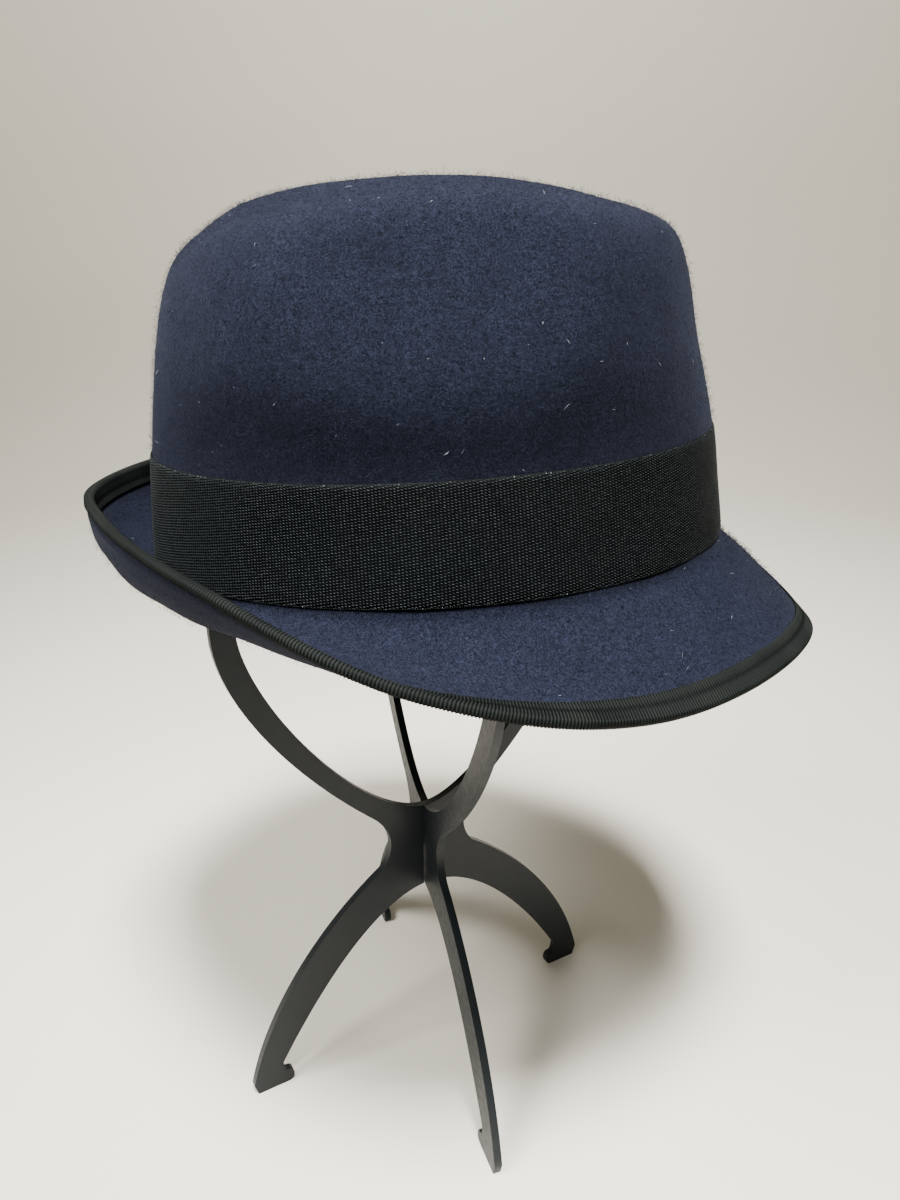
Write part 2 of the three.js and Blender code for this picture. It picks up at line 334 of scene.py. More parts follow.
@dataclass(frozen=True)
class HatForm:
    """The blocked form of the hat, the same as the solids'.

    Stations go along the felt from -1 at the crease's floor, through 0 at the break and 1 at the hem,
    to 2 at the brim's edge. The angle goes round from the front.
    """

    y: float = 4.46
    z: float = 237.6
    pitch: float = math.radians(3)
    felt: float = 2.0
    hem: float = 10.0
    pinch_half: float = 83.3
    pinch_up: float = 60.0
    pinch_lean: float = 0.35
    pinch_taper: float = 0.065
    pinch_bow: float = 540.0
    pinch_round: float = 7.0
    break_climb: float = 0.009
    break_out: float = 0.1
    nudge: float = 1e-4
    samples: int = 1441

    def pinched(self, wall: Array, ahead: Array, up: Array) -> Array:
        """Gives the crown's half width where the pinch presses each side into a leaning panel.

        Args:
            wall: Half widths before the pinch.
            ahead: How far ahead of the axis.
            up: How far up from the foot of the crown.

        Returns:
            The lesser of wall and panel, rounded where they meet.
        """
        leaned = self.pinch_half - self.pinch_lean * (up - self.pinch_up)
        panel = leaned - self.pinch_taper * ahead - ahead**2 / (2 * self.pinch_bow)
        near = np.maximum(0, 1 - np.abs(wall - panel) / self.pinch_round)
        return np.minimum(wall, panel) - near**2 * self.pinch_round / 4

    def crown_point(self, theta: Array, climb: Array) -> Array:
        """Gives points of the crown's middle surface.

        Args:
            theta: Angles round from the front.
            climb: Climbs, from 0 at the foot to 1 at the crease's floor.

        Returns:
            The points, before the hat is tilted and placed.
        """
        rows = spline(np.array(CROWN, float), climb, False)
        z_front, z_side, z_back, front, back, half = np.moveaxis(rows, -1, 0)
        to_front, to_side = np.cos(theta), np.sin(theta)
        ahead = np.where(to_front > 0, front, back) * to_front
        end = np.where(to_front > 0, z_front, z_back)
        up = z_side + (end - z_side) * to_front**2
        wide = self.pinched(half * np.abs(to_side), ahead, up)
        return np.stack([-wide * np.sign(to_side), -ahead, up], -1)

    def brim_point(self, theta: Array, station: Array) -> Array:
        """Gives points of the brim's middle surface.

        Args:
            theta: Angles round from the front.
            station: Stations from 0 to 2.

        Returns:
            The points, before the hat is tilted and placed.
        """
        rows = np.array(BRIM + BRIM[-2:0:-1], float)
        width, start, edge = np.moveaxis(spline(rows, (theta / TURN) % 1, True), -1, 0)
        flat_share = station * (1 - self.hem / width)
        hem_share = 1 - (EDGE - station) * self.hem / width
        share = np.where(station < HEM, flat_share, hem_share)
        start, edge = np.radians(start), np.radians(edge)
        slope = start + (edge - start) * share
        out = width * (np.sin(slope) - np.sin(start)) / (edge - start)
        rise = width * (np.cos(start) - np.cos(slope)) / (edge - start)
        foot = CROWN[0]
        flat = np.stack([-np.sin(theta) / foot.half, -np.cos(theta) / foot.front, 0 * theta], -1)
        lift = np.stack([0 * rise, 0 * rise, rise], -1)
        return self.crown_point(theta, 0 * theta) + unit(flat) * out[..., None] + lift

    def middle(self, theta: Array, station: Array) -> Array:
        """Gives points of the felt's middle surface, with the break rounded.

        Args:
            theta: Angles round from the front.
            station: Stations from -1 to 2.

        Returns:
            The points, before the hat is tilted and placed.
        """
        low, high = -self.break_climb, self.break_out
        crown = self.crown_point(theta, np.clip(-station, 0, 1))
        brim = self.brim_point(theta, np.maximum(station, 0))
        part = np.clip((station - low) / (high - low), 0, 1)[..., None]
        still = np.zeros_like(theta)
        above = self.crown_point(theta, still - low)
        below = self.brim_point(theta, still + high)
        corner = self.crown_point(theta, still)
        bend = (1 - part) ** 2 * above + 2 * part * (1 - part) * corner + part**2 * below
        bent = np.where((station <= low)[..., None], crown, bend)
        return np.where((station >= high)[..., None], brim, bent)

    def slopes(self, theta: Array, station: Array) -> list[Array]:
        """Gives small steps along the felt, round the hat and towards the brim's edge.

        Args:
            theta: Angles round from the front.
            station: Stations, of the same shape.

        Returns:
            The steps round the hat, and those towards the edge.
        """
        ways = ((self.nudge, 0), (0, self.nudge))
        ends = [[self.middle(theta + s * a, station + s * b) for s in (1, -1)] for a, b in ways]
        return [after - before for after, before in ends]

    def tilted(self, vectors: Array) -> Array:
        """Tilts points or directions of the hat as it sits on the stand."""
        cosine, sine = math.cos(self.pitch), math.sin(self.pitch)
        return vectors @ np.array([[1, 0, 0], [0, cosine, -sine], [0, sine, cosine]])

    def spot(self, theta: Array, station: Array) -> Spot:
        """Gives places on the felt's middle surface with their directions.

        Args:
            theta: Angles round from the front.
            station: Stations, of the same shape.

        Returns:
            The places, in the row's frame.
        """
        around, down = self.slopes(theta, station)
        normal = unit(np.cross(around, down))
        normal = np.where((station <= CREASE)[..., None], np.array([0.0, 0.0, 1.0]), normal)
        point = self.tilted(self.middle(theta, station)) + np.array([0, self.y, self.z])
        return Spot(point, *(self.tilted(unit(v)) for v in (normal, around, down)))

    def raised(self, theta: Array, station: Array, lift: Array) -> Array:
        """Gives points lifted off the felt's middle surface along its normal."""
        spot = self.spot(theta, station)
        return spot.point + spot.normal * lift[..., None]

    def even_angles(self, station: float, count: int) -> tuple[Array, float]:
        """Shares a line round the hat out into equal lengths.

        Args:
            station: Station of the line.
            count: How many parts.

        Returns:
            The angle where each part starts, and the line's length.
        """
        theta = np.linspace(0, TURN, self.samples)
        line = self.middle(theta, np.full_like(theta, station))
        steps = np.linalg.norm(np.diff(line, axis=0), axis=1)
        run = np.concatenate([[0], np.cumsum(steps)])
        return np.interp(np.arange(count) / count * run[-1], run, theta), float(run[-1])

    def length_round(self, station: float) -> float:
        """Gives the length of a line round the hat."""
        return self.even_angles(station, 1)[1]


FORM = HatForm()


def rolled(angle: Array, section: Array) -> list[Array]:
    """Spreads a section's stations round the hat, a row for each angle."""
    return np.meshgrid(angle, section, indexing="ij")


def even_turn(rounds: int) -> Array:
    """Gives equal steps of angle round the hat."""
    return np.arange(rounds) / rounds * TURN


def pressed_ring(
    name: str, theta: Array, station: Array, lift: Array, rib: Array | None = None
) -> Any:
    """Makes a closed ring of felt or ribbon from a flat grid, rolled up and pressed to the form.

    Args:
        name: The piece's name.
        theta: Angles, one row for each step round the hat and one column for each section point.
        station: Stations of the same grid.
        lift: Lifts of the same grid.
        rib: How light each point is painted, from 0 in the painted shade of the grooves and the
            stitching to 1 on a rib's top, kept on it for the material.

    Returns:
        The new object.
    """
    rounds, across = theta.shape
    start_alone()
    bpy.ops.mesh.primitive_grid_add(x_subdivisions=across, y_subdivisions=rounds, size=0.1)
    piece = name_active(name)
    points = FORM.raised(theta, station, lift) * MM
    points = np.pad(points, ((0, 1), (0, 1), (0, 0)), mode="wrap")
    piece.data.vertices.foreach_set("co", points.astype(np.float32).ravel())
    if rib is not None:
        keep_numbers(piece, "rib", np.pad(rib, ((0, 1), (0, 1)), mode="wrap"))
    piece.data.update()
    with editing():
        bpy.ops.mesh.remove_doubles(threshold=WELD)
        bpy.ops.mesh.normals_make_consistent(inside=False)
    bpy.ops.object.shade_smooth()
    return piece


# ---------------- finishes


def linear(code: str) -> tuple[float, float, float, float]:
    """Turns a hex sRGB colour into a linear one.

    Args:
        code: The colour as "#rrggbb".

    Returns:
        Linear red, green and blue, and an alpha of 1.
    """
    parts = [int(code[i : i + 2], 16) / 255 for i in (1, 3, 5)]
    bent = [c / 12.92 if c <= 0.04045 else ((c + 0.055) / 1.055) ** 2.4 for c in parts]
    return (*bent, 1.0)


class Recipe:
    """A material in the making. Its methods add nodes and return their outputs."""

    def __init__(self, name: str, constants: dict[str, Any]) -> None:
        """Starts a material.

        Args:
            name: The material's name.
            constants: Values of the shader's own sockets.
        """
        material = bpy.data.materials.new(name)
        material.use_nodes = True
        self.tree = material.node_tree
        self.shader = self.tree.nodes["Principled BSDF"]
        self.feed(constants)

    def fill(self, node: Any, inputs: dict) -> None:
        """Puts values on a node's inputs, or links outputs to them.

        Args:
            node: The node.
            inputs: Values and outputs, by the name or number of the input.
        """
        for key, value in inputs.items():
            if isinstance(value, bpy.types.NodeSocket):
                self.tree.links.new(value, node.inputs[key])
            else:
                node.inputs[key].default_value = value

    def feed(self, sockets: dict[str, Any]) -> None:
        """Puts values on the shader's sockets, or links outputs to them."""
        self.fill(self.shader, sockets)

    def add(self, kind: str, inputs: dict, out: int | str = 0, **settings: Any) -> Any:
        """Adds a shader node.

        Args:
            kind: The end of its type's name.
            inputs: Values and outputs for its inputs.
            out: Name or number of the output to return.
            settings: Properties of the node.

        Returns:
            The output.
        """
        node = self.tree.nodes.new("ShaderNode" + kind)
        for name, value in settings.items():
            setattr(node, name, value)
        self.fill(node, inputs)
        return node.outputs[out]

    @cached_property
    def where(self) -> Any:
        """Gives the object's coordinates, in which the patterns are laid out."""
        return self.add("TexCoord", {}, "Object")

    def attribute(self, name: str) -> Any:
        """Reads a number kept on the mesh's points."""
        return self.add("Attribute", {}, "Fac", attribute_name=name)

    def noise(self, size: float, detail: float, rough: float = 0.5, stir: float = 0.0) -> Any:
        """Adds a noise, about 0 to 1, with blots of a size in millimetres."""
        inputs = {"Vector": self.where, "Scale": 1 / (size * MM), "Detail": detail}
        return self.add("TexNoise", inputs | {"Roughness": rough, "Distortion": stir}, "Fac")

    def times(self, first: Any, second: Any) -> Any:
        """Multiplies two numbers."""
        return self.add("Math", {0: first, 1: second}, operation="MULTIPLY")

    def ranged(self, value: Any, start: Pair, end: Pair = (0.0, 1.0)) -> Any:
        """Maps one range of numbers on to another, and stops at its ends."""
        names = ("From Min", "From Max", "To Min", "To Max")
        return self.add("MapRange", {"Value": value} | dict(zip(names, (*start, *end))))

    def mixed(self, share: Any, first: Any, second: Any) -> Any:
        """Mixes two colours, each an output or a hex sRGB colour."""
        pair = [linear(c) if isinstance(c, str) else c for c in (first, second)]
        return self.add("Mix", {0: share, 6: pair[0], 7: pair[1]}, 2, data_type="RGBA")

    def bump(self, height: Any, deep: float, strength: float, **under: Any) -> Any:
        """Adds a bump of a depth in millimetres, on a coarser bump's Normal where that is given."""
        inputs = {"Height": height, "Distance": deep * MM, "Strength": strength}
        return self.add("Bump", inputs | under, "Normal")


@dataclass(frozen=True)
class Finish:
    """A surface, whose material is made the first time that a piece asks for it."""

    name: str

    def make(self) -> None:
        """Makes the material."""
        raise NotImplementedError

    def material(self) -> Any:
        """Gives the material.

        Returns:
            The one material of this finish.
        """
        if self.name not in bpy.data.materials:
            self.make()
        return bpy.data.materials[self.name]


@dataclass(frozen=True)
class WoolFelt(Finish):
    """Blocked wool felt, brushed: matt, with a soft sheen and fibre flecks."""

    name: str = "navy_wool_felt"
    base: str = "#060913"
    light: str = "#232637"
    sheen: str = "#8d97b8"
    fleck_mm: float = 0.55
    curl_mm: float = 1.0
    blotch_mm: float = 11.0

    def make(self) -> None:
        """Makes the material: flecks and curls of fibre, fewer in some places than in others."""
        constants = {
            "Roughness": 0.95,
            "Specular IOR Level": 0.1,
            "Sheen Weight": 0.05,
            "Sheen Roughness": 0.4,
            "Sheen Tint": linear(self.sheen),
        }
        recipe = Recipe(self.name, constants)
        fleck = recipe.noise(self.fleck_mm, detail=3.0, rough=0.6)
        curl = recipe.noise(self.curl_mm, detail=2.0, stir=1.5)
        blotch = recipe.noise(self.blotch_mm, detail=3.0)
        fibres = recipe.ranged(recipe.times(fleck, curl), (0.16, 0.42), (0.0, 0.8))
        cloudy = recipe.ranged(blotch, (0.3, 0.7), (0.7, 1.0))
        colour = recipe.mixed(recipe.times(fibres, cloudy), self.base, self.light)
        coarse = recipe.bump(curl, deep=0.35, strength=0.5)
        fine = recipe.bump(fleck, deep=0.25, strength=0.7, Normal=coarse)
        recipe.feed({"Base Color": colour, "Normal": fine})


@dataclass(frozen=True)
class Thread(Finish):
    """Spun or loose fibre, whose shade follows the tint kept on each piece of it."""

    dark: str
    light: str
    pale: str
    roughness: float
    specular: float
    common_tints: Pair = (0.0, 0.95)
    stray_tints: Pair = (0.96, 0.99)

    def make(self) -> None:
        """Makes the material: from dark to light, and pale for the few strays."""
        constants = {"Roughness": self.roughness, "Specular IOR Level": self.specular}
        recipe = Recipe(self.name, constants)
        tint = recipe.attribute("tint")
        common = recipe.mixed(recipe.ranged(tint, self.common_tints), self.dark, self.light)
        colour = recipe.mixed(recipe.ranged(tint, self.stray_tints), common, self.pale)
        recipe.feed({"Base Color": colour})


@dataclass(frozen=True)
class Ribbon(Finish):
    """Woven viscose ribbon: near black and dull, its ribs' colour broken up thread by thread."""

    ground_and_groove_shade: str
    dark: str
    light: str
    roughness: float
    thread_mm: float
    specular: float
    patch_mm: float = 14.0
    grit: float = 0.06
    uneven: float = 0.08

    def make(self) -> None:
        """Makes the material: painted shade in the grooves, threads on the ribs, and patches that
        shine more or less.
        """
        recipe = Recipe(self.name, {"Specular IOR Level": self.specular})
        thread = recipe.noise(self.thread_mm, detail=2.0)
        patch = recipe.noise(self.patch_mm, detail=2.0)
        top = recipe.mixed(recipe.times(thread, patch), self.dark, self.light)
        # Painted shade: the rib number mixes from the first colour, which paints shade in the
        # grooves, up to the threads on the ribs.
        colour = recipe.mixed(recipe.attribute("rib"), self.ground_and_groove_shade, top)
        ends = (self.roughness - self.uneven, self.roughness + self.uneven)
        rough = recipe.ranged(patch, (0.3, 0.7), ends)
        bump = recipe.bump(thread, deep=self.grit, strength=0.6)
        recipe.feed({"Base Color": colour, "Roughness": rough, "Normal": bump})


@dataclass(frozen=True)
class MouldedPlastic(Finish):
    """Injection-moulded polypropylene: charcoal, satin, with cloudy flow marks and fine scuffs."""

    name: str = "charcoal_moulded_plastic"
    dark: str = "#0f1316"
    light: str = "#171c20"
    flow_mm: float = 26.0
    grain_mm: float = 0.5
    scuff_mm: float = 2.5

    def make(self) -> None:
        """Makes the material: flow marks in the colour, scuffs in the shine, grain in the bump."""
        recipe = Recipe(self.name, {"IOR": 1.49, "Specular IOR Level": 0.2})
        flow = recipe.noise(self.flow_mm, detail=3.0, stir=0.8)
        grain = recipe.noise(self.grain_mm, detail=1.0)
        scuff = recipe.noise(self.scuff_mm, detail=4.0, rough=0.7)
        colour = recipe.mixed(flow, self.dark, self.light)
        rough = recipe.ranged(scuff, (0.3, 0.7), (0.36, 0.52))
        bump = recipe.bump(grain, deep=0.04, strength=0.35)
        recipe.feed({"Base Color": colour, "Roughness": rough, "Normal": bump})


@dataclass(frozen=True)
class Paper(Finish):
    """Backdrop paper: pale, matt, and very slightly cloudy."""

    name: str = "pale_paper_backdrop"
    dark: str = "#e0dcd0"
    light: str = "#e6e2d7"
    cloud_mm: float = 400.0

    def make(self) -> None:
        """Makes the material."""
        recipe = Recipe(self.name, {"Roughness": 0.85})
        cloud = recipe.noise(self.cloud_mm, detail=2.0)
        recipe.feed({"Base Color": recipe.mixed(cloud, self.dark, self.light)})


# Wool felt gives a matt navy that takes the light softly, mottled, with no highlight of its own.
FELT = WoolFelt()
# Loose wool gives a fuzz that softens the outline, light flecks in the face and a few hairs of lint.
NAP = Thread("navy_wool_fibre", "#060911", "#2b3045", "#a9aeb9", 0.95, 0.05)
# The ribbon's ground gives the near black that shows between the floats. It has no ribs, so all of it
# takes the first colour, which in grosgrain paints the shade in the grooves and here is the ribbon's
# own near black.
RIBBON = Ribbon("black_viscose_ribbon", "#030506", "#030506", "#07090b", 0.7, 0.4, 0.05)
# Viscose thread is black, but its colour is drawn grey as painted sheen, in rows of dull glints by
# which the band is seen to be woven. The grey also differs at random from thread to thread.
FLOATS = Thread("black_viscose_thread", "#06080a", "#303536", "#848a8a", 0.42, 0.12)
# Grosgrain gives dull ribs with painted black shade in the grooves between them and along the
# stitching, by which the edge is seen to be bound.
GROSGRAIN = Ribbon("black_grosgrain_ribbon", "#020303", "#0e1111", "#353936", 0.6, 0.3, 0.03)
# Moulded plastic gives a charcoal grey with a dull shine that follows the plates' bends.
PLASTIC = MouldedPlastic()
# Paper gives an even pale ground that takes soft shadows.
PAPER = Paper()


# ---------------- the felt


@dataclass(frozen=True)
class NapPatch:
    """A patch of loose fibres on the felt."""

    name: str
    low: float
    high: float
    side: Side
    fibres: int
    seed: int


@dataclass
class FeltBody:
    """Crown and brim, one blocked piece of wool felt, with its nap."""

    rounds: int = 320
    crown_steps: int = 66
    break_steps: int = 7
    brim_steps: int = 24
    hem_steps: int = 4
    inner_share: float = 0.6
    uneven: float = 0.28
    unevenness_field: Waves = Waves(5, 22, 70)
    band_fade: Pair = (0.13, 0.22)
    break_fade: Pair = (0.05, 0.2)
    hem_fade: Pair = (0.8, 0.95)
    # Fibres are drawn about three times as thick as real wool, which is finer than a pixel.
    fibre_thick: float = 0.042
    thick_range: Pair = (0.7, 1.3)
    standing: float = 0.4
    fuzz_long: float = 1.7
    fleck_long: float = 1.0
    long_spread: float = 0.4
    long_range: Pair = (0.4, 3.4)
    fuzz_rise: Pair = (0.35, 0.95)
    fleck_rise: Pair = (0.0, 0.2)
    arch: float = 0.16
    swerve: float = 0.35
    middle_swerve: float = 0.3
    tip_swerve: float = 1.6
    tip_rise: Pair = (0.2, 1.2)
    root_sunk: float = 0.08
    lint_share: float = 0.0025
    tint_most: float = 0.94
    tint_power: float = 1.6
    tries: int = 6
    patches: tuple[NapPatch, ...] = (
        NapPatch("crown_nap_top", -0.999, -0.42, Side.OUTER, 24000, 11),
        NapPatch("crown_nap_side", -0.42, -0.116, Side.OUTER, 30000, 12),
        NapPatch("brim_nap_top", 0.01, 0.985, Side.OUTER, 24000, 13),
        NapPatch("brim_nap_under", 0.02, 1.3, Side.UNDER, 9000, 14),
    )

    def stations(self, share: float) -> Array:
        """Gives stations from the crease to the brim's edge.

        Args:
            share: Share of the full number of steps.

        Returns:
            The stations, in order.
        """
        steps = [self.crown_steps, self.break_steps, self.brim_steps, self.hem_steps]
        crown, bend, brim, hem = (max(2, round(n * share)) for n in steps)
        low, high = -FORM.break_climb, FORM.break_out
        return np.concatenate(
            [
                np.linspace(CREASE, low, crown, endpoint=False),
                np.linspace(low, high, bend, endpoint=False),
                np.linspace(high, HEM, brim, endpoint=False),
                np.linspace(HEM, EDGE, hem + 1),
            ]
        )

    def unevenness(self, theta: Array, station: Array) -> Array:
        """Gives the felt's slight waviness, none under the band and the binding.

        Args:
            theta: Angles round from the front.
            station: Stations, of the same shape.

        Returns:
            How far the felt stands off its form.
        """
        field = self.unevenness_field.at(FORM.spot(theta, station).point)
        crown = smoothstep(-station, *self.band_fade)
        brim = smoothstep(station, *self.break_fade) * (1 - smoothstep(station, *self.hem_fade))
        return self.uneven * field * (crown + brim)

    def shell(self) -> Any:
        """Presses the felt shell.

        Returns:
            The shell.
        """
        outside = self.stations(1.0)
        inside = self.stations(self.inner_share)[::-1]
        sign = np.concatenate([np.ones(len(outside)), -np.ones(len(inside))])
        theta, station = rolled(even_turn(self.rounds), np.concatenate([outside, inside]))
        lift = sign[None] * FORM.felt / 2 + self.unevenness(theta, station)
        return pressed_ring("felt_shell", theta, station, lift)

    def scatter(self, patch: NapPatch, rng: Any) -> tuple[Array, Array]:
        """Strews places over a patch, evenly by area.

        Args:
            patch: The patch.
            rng: The random source.

        Returns:
            Angles and stations.
        """
        theta = rng.uniform(0, TURN, patch.fibres * self.tries)
        station = rng.uniform(patch.low, patch.high, patch.fibres * self.tries)
        area = np.linalg.norm(np.cross(*FORM.slopes(theta, station)), axis=1)
        keep = np.argsort(rng.exponential(size=len(area)) / area)[: patch.fibres]
        return theta[keep], station[keep]

    def nap(self, patch: NapPatch) -> Any:
        """Makes the loose fibres of a patch: most lie on the felt, the others stand off it.

        Args:
            patch: The patch.

        Returns:
            The fibres, as one piece.
        """
        rng = np.random.default_rng(patch.seed)
        theta, station = self.scatter(patch, rng)
        spot = FORM.spot(theta, station)
        column = (len(theta), 1)
        out = spot.normal * patch.side.value
        turn = rng.uniform(0, TURN, column)
        along = spot.round * np.cos(turn) + spot.down * np.sin(turn)
        aside = np.cross(out, along)
        stands = rng.random(column) < self.standing
        usual = np.where(stands, self.fuzz_long, self.fleck_long)
        length = (rng.lognormal(0, self.long_spread, column) * usual).clip(*self.long_range)
        steep, gentle = (rng.uniform(*r, column) for r in (self.fuzz_rise, self.fleck_rise))
        rise = np.where(stands, steep, gentle)
        swerve = aside * rng.normal(0, self.swerve, column)
        lift = FORM.felt / 2 + patch.side.value * self.unevenness(theta, station)
        root = spot.point + out * (lift[:, None] - self.root_sunk)
        ahead = along * np.sqrt(1 - rise**2)
        half = length / 2
        middle = root + half * (ahead + out * (rise + self.arch))
        middle = middle + swerve * length * self.middle_swerve
        tip_rise = rise * rng.uniform(*self.tip_rise, column)
        tip = middle + half * (ahead + swerve * self.tip_swerve + out * tip_rise)
        thick = self.fibre_thick * rng.uniform(*self.thick_range, column)
        ring = corners(middle, out * thick, aside * thick, out * thick / 2)
        lint = rng.random(len(theta)) < self.lint_share
        tint = np.where(lint, 1, self.tint_most * rng.random(len(theta)) ** self.tint_power)
        return spindles(patch.name, root, ring, tip, tint)

    def build(self) -> None:
        """Makes the shell and its nap, and dresses them."""
        dress(self.shell(), FELT, "felt_body")
        for patch in self.patches:
            dress(self.nap(patch), NAP)


# ---------------- the band


@dataclass
class HatBand:
    """The wide ribbon round the foot of the crown: its ground, woven floats and selvedges."""

    low: float = 0.01
    high: float = 0.112
    thick: float = 0.45
    seat: float = 0.1
    hug: float = 1.5
    edge_share: float = 0.4
    ripple: float = 0.16
    ripple_field: Waves = Waves(21, 24, 60)
    rounds: int = 560
    rows: int = 18
    back_rows: int = 5
    # Each float is drawn for several threads, which are finer than a pixel.
    column_mm: float = 1.05
    float_mm: float = 0.86
    float_seed: int = 31
    twill: float = 0.2
    first_row: float = 0.15
    row_spread: float = 0.05
    margin: float = 0.012
    half_long: float = 0.66
    long_range: Pair = (0.85, 1.1)
    half_wide: float = 0.2
    wide_range: Pair = (0.85, 1.15)
    lean: float = 0.3
    lean_spread: float = 0.06
    proud: float = 0.17
    sunk: float = 0.04
    float_tints: Pair = (0.3, 0.95)
    loops_a_column: float = 1.5
    loop_reach: float = 0.7
    loop_range: Pair = (0.8, 1.2)
    loop_sunk: float = 0.35
    loop_over: float = 0.1
    loop_foot: float = 0.02
    loop_arch: float = 0.24
    loop_thick: float = 0.1
    loop_wide: Pair = (0.2, 0.3)
    # Loops with a tint over 0.96 take the thread's pale colour, as painted glints along the edges.
    loop_tints: Pair = (0.3, 1.0)

    def height(self) -> float:
        """Gives the ribbon's width, in millimetres, at the side of the hat."""
        ends = FORM.middle(np.full(2, math.pi / 2), np.array([-self.high, -self.low]))
        return float(np.linalg.norm(ends[0] - ends[1]))

    def middle(self) -> float:
        """Gives the station of the ribbon's middle line."""
        return -(self.low + self.high) / 2

    def face_lift(self, theta: Array, station: Array) -> Array:
        """Gives the lift of the ribbon's face off the felt's middle, with its slight ripple.

        Args:
            theta: Angles round from the front.
            station: Stations, of the same shape.

        Returns:
            The lifts, less near the ribbon's edges.
        """
        share = np.minimum(station + self.high, -self.low - station) / (self.high - self.low)
        full = smoothstep(share * self.height(), 0, self.hug)
        body = self.thick * (self.edge_share + (1 - self.edge_share) * full)
        ripple = self.ripple * self.ripple_field.at(FORM.spot(theta, station).point)
        return FORM.felt / 2 + self.seat + body + ripple

    def ground(self) -> Any:
        """Presses the ribbon's ground.

        Returns:
            The ribbon.
        """
        face = np.linspace(-self.high, -self.low, self.rows)
        back = np.linspace(-self.low, -self.high, self.back_rows)
        theta, station = rolled(even_turn(self.rounds), np.concatenate([face, back]))
        in_face = np.arange(theta.shape[1])[None] < self.rows
        lift = np.where(in_face, self.face_lift(theta, station), FORM.felt / 2 + self.seat / 2)
        return pressed_ring("band_ribbon", theta, station, lift)

    def floats(self) -> Any:
        """Makes the threads that float over the ground, in slanting rows.

        Returns:
            The threads, as one piece.
        """
        rng = np.random.default_rng(self.float_seed)
        columns = round(FORM.length_round(self.middle()) / self.column_mm)
        angle = FORM.even_angles(self.middle(), columns)[0]
        count = int(self.height() / self.float_mm)
        column, row = (g.ravel() for g in rolled(np.arange(columns), np.arange(count)))
        stagger = (self.twill * column) % 1 + self.first_row
        share = (row + stagger + rng.normal(0, self.row_spread, len(row))) / count
        keep = (share > self.margin) & (share < 1 - self.margin)
        column, share = column[keep], share[keep]
        theta = angle[column]
        station = -self.high + share * (self.high - self.low)
        each = (len(theta), 1)
        spot = FORM.spot(theta, station)
        lift = self.face_lift(theta, station)[:, None]
        along = unit(spot.round + spot.down * rng.normal(-self.lean, self.lean_spread, each))
        heart = spot.point + spot.normal * (lift - self.sunk)
        reach = along * self.half_long * rng.uniform(*self.long_range, each)
        wide = self.half_wide * rng.uniform(*self.wide_range, each)
        aside = np.cross(spot.normal, along) * wide
        ring = corners(heart, spot.normal * (self.proud + self.sunk), aside)
        tint = rng.uniform(*self.float_tints, len(theta))
        return spindles("band_floats", heart - reach, ring, heart + reach, tint)

    def selvedge(self, name: str, edge: float, reach: float, seed: int) -> Any:
        """Makes the small loops of weft that turn back along one edge.

        Args:
            name: The piece's name.
            edge: Station of the edge.
            reach: How far the loops reach in from the edge, in millimetres, less than 0 upwards.
            seed: Seed of their slight unevenness.

        Returns:
            The loops, as one piece.
        """
        rng = np.random.default_rng(seed)
        columns = round(FORM.length_round(edge) / self.column_mm * self.loops_a_column)
        theta = FORM.even_angles(edge, columns)[0]
        station = np.full(columns, edge)
        spot = FORM.spot(theta, station)
        lift = self.face_lift(theta, station)[:, None]
        over = spot.down * np.sign(reach) * self.loop_over
        inward = spot.down * reach * rng.uniform(*self.loop_range, (columns, 1))
        top = spot.point + spot.normal * (lift - self.loop_sunk) - over
        foot = spot.point + spot.normal * (lift + self.loop_foot) + inward
        heart = (top + foot) / 2 + spot.normal * self.loop_arch
        aside = spot.round * rng.uniform(*self.loop_wide, (columns, 1))
        ring = corners(heart, spot.normal * self.loop_thick, aside)
        return spindles(name, top, ring, foot, rng.uniform(*self.loop_tints, columns))

    def build(self) -> None:
        ribbon = self.ground()
        dress(ribbon, RIBBON, "hat_band")
        threads = [
            self.floats(),
            self.selvedge("band_top_selvedge", -self.high, self.loop_reach, 32),
            self.selvedge("band_foot_selvedge", -self.low, -self.loop_reach, 33),
        ]
        for thread in threads:
            dress(thread, FLOATS)


# ---------------- the binding


